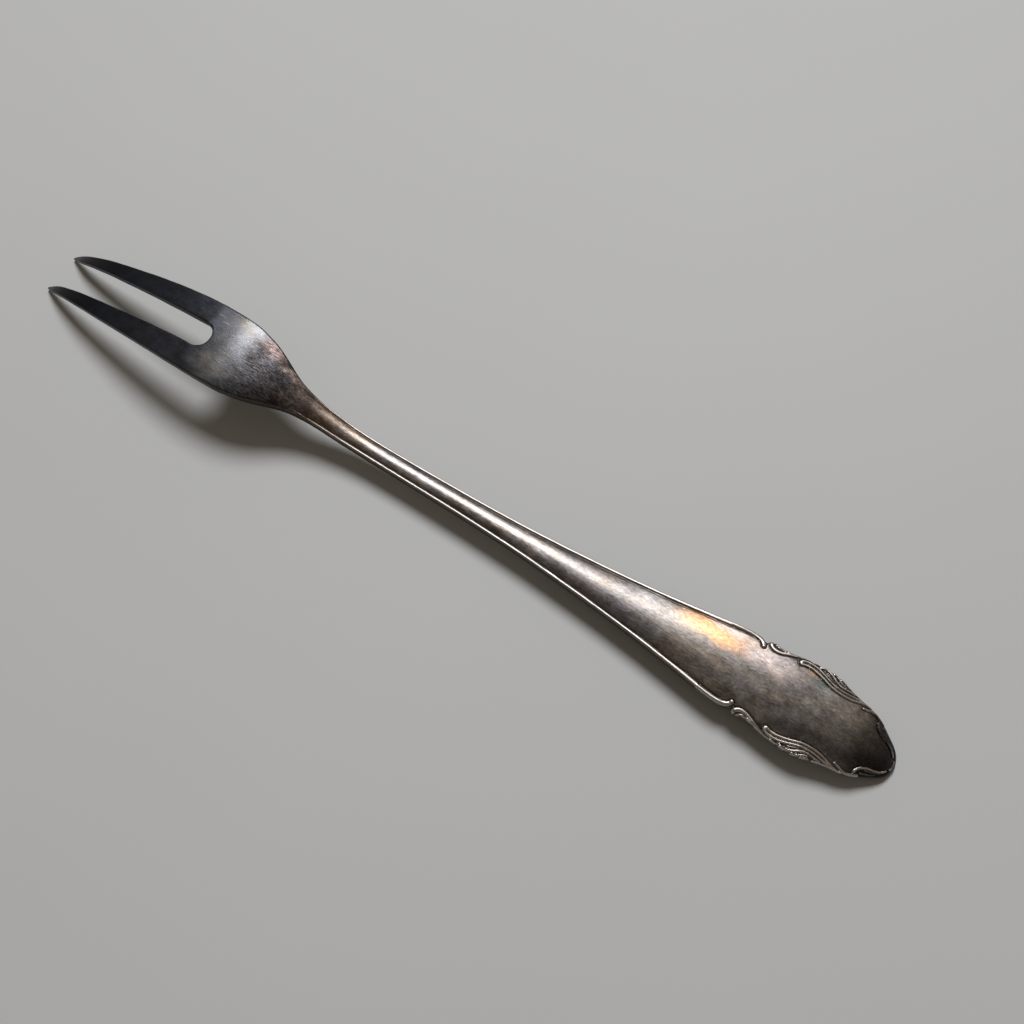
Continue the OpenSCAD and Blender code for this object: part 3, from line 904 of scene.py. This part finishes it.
def along_fork(tree, position_x, start, end, low_out=0.0, high_out=1.0):
    """A value that changes between two distances from the tips, in millimetres."""
    start_x = (start - fork_l / 2) * MM
    end_x = (end - fork_l / 2) * MM
    return in_range(tree, position_x, start_x, end_x, low_out, high_out)


def uneven_film(tree, colour, pattern, position_x):
    """Adds the film's tints, clouds, grain, specks and strokes to a colour."""
    hue = colour_ramp(tree, pattern["film"], FILM_HUES)
    colour = blend_colours(tree, "MULTIPLY", 1.0, colour, hue)
    uneven = along_fork(tree, position_x, *UNEVEN_FROM_HEAD)
    for name, shade_range in SHADES.items():
        shade = in_range(tree, pattern[name], *shade_range)
        colour = blend_colours(tree, "MULTIPLY", uneven, colour, shade)
    begun = along_fork(tree, position_x, *STROKES_BEGIN)
    not_ended = along_fork(tree, position_x, *STROKES_END)
    strokes = in_range(tree, pattern["brush"], *STROKE_SHADES)
    return blend_colours(tree, "MULTIPLY", times(tree, not_ended, begun), colour, strokes)


print(len(NOISES), "noises,", len(SHADES), "of them as plain shades")

# %% [markdown]
# The strike left marks on the mesh: how raised each point is, how sunk, and how near the
# middle of the wall. Ridges are rubbed bare, except on one side of the handle's end, where
# they are kept dark as painted shade, since that side doesn't catch the lamp. The walls are
# brown and the grooves nearly black. A pointiness node could find ridges as well, but it
# depends on the mesh and can't tell a rib from a rim.

# %% silver plate
# Painted shade: the ridges at this side of the handle's end are kept dark, where the end doesn't catch
# the lamp.
SHADED_END = ((161.2, 3.8), (3.3, 2.4))
DARKEST = (0.016, 0.013, 0.011)
WORN_SILVER = (0.5, 0.462, 0.432)
WALL_BROWN = (0.075, 0.062, 0.052)
RIDGE_TOPS = (0.45, 1.0)
RUBBED = (0.3, 0.7, 0.55, 0.95)
SHADED_END_FADE = (0.6, 1.2)
SCRATCH_SHARE = (0.66, 0.74, 0.0, 0.2)
WALL_SHARE = (0.4, 0.95, 0.0, 0.85)
RECESS_SHARE = (0.2, 0.9, 0.0, 0.95)
FILM_ROUGHNESS = (0.3, 0.7, 0.26, 0.36)
BARE_ROUGHNESS = 0.4
BRUSH_TO_GRAIN = 0.5
BUMP_HEIGHT = 0.02


def mark(tree, name):
    return add(tree, "ShaderNodeAttribute", attribute_name=name).outputs["Fac"]


def bare_share(tree, pattern, place):
    """How much of the film is rubbed off the ridges, and none near one side of the handle's end, which is
    kept dark as painted shade.
    """
    ridges = in_range(tree, mark(tree, "raised"), *RIDGE_TOPS)
    bare = times(tree, ridges, in_range(tree, pattern["grain"], *RUBBED))
    # The ridges stay dark, as painted shade, round one side of the handle's end.
    return times(tree, bare, in_range(tree, patch_distance(tree, place, *SHADED_END), *SHADED_END_FADE))


def silver_material():
    silver = bpy.data.materials.new("tarnished_silver_plate")
    silver.use_nodes = True
    tree = silver.node_tree
    shader = tree.nodes["Principled BSDF"]
    shader.inputs["Metallic"].default_value = 1.0
    position = add(tree, "ShaderNodeTexCoord").outputs["Object"]
    position_x = add(tree, "ShaderNodeSeparateXYZ", {"Vector": position}).outputs["X"]
    place = vector_math(tree, "MULTIPLY", position, (1 / MM, 1 / MM, 1 / MM))
    pattern = {name: noise(tree, place, *kind).outputs["Fac"] for name, kind in NOISES.items()}
    colour = uneven_film(tree, tarnish_and_painted_light(tree, place), pattern, position_x)
    bare = bare_share(tree, pattern, place)
    layers = [
        (bare, WORN_SILVER),
        (in_range(tree, pattern["scratch"], *SCRATCH_SHARE), WORN_SILVER),
        (in_range(tree, mark(tree, "wall"), *WALL_SHARE), WALL_BROWN),
        (in_range(tree, mark(tree, "recess"), *RECESS_SHARE), DARKEST)]
    for share, tone in layers:
        colour = blend_colours(tree, "MIX", share, colour, tone)
    feed(shader.inputs["Base Color"], colour)
    film_roughness = in_range(tree, pattern["cloud"], *FILM_ROUGHNESS)
    feed(shader.inputs["Roughness"], mix_values(tree, bare, film_roughness, BARE_ROUGHNESS))
    height = mix_values(tree, BRUSH_TO_GRAIN, pattern["brush"], pattern["grain"])
    bump = add(tree, "ShaderNodeBump", {"Height": height, "Strength": 1.0, "Distance": BUMP_HEIGHT * MM})
    feed(shader.inputs["Normal"], bump.outputs["Normal"])
    return silver


silver_plate = silver_material()
fork.data.materials.append(silver_plate)
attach(fork, "root")
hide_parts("fork")
print("silver plate made of", len(silver_plate.node_tree.nodes), "nodes")
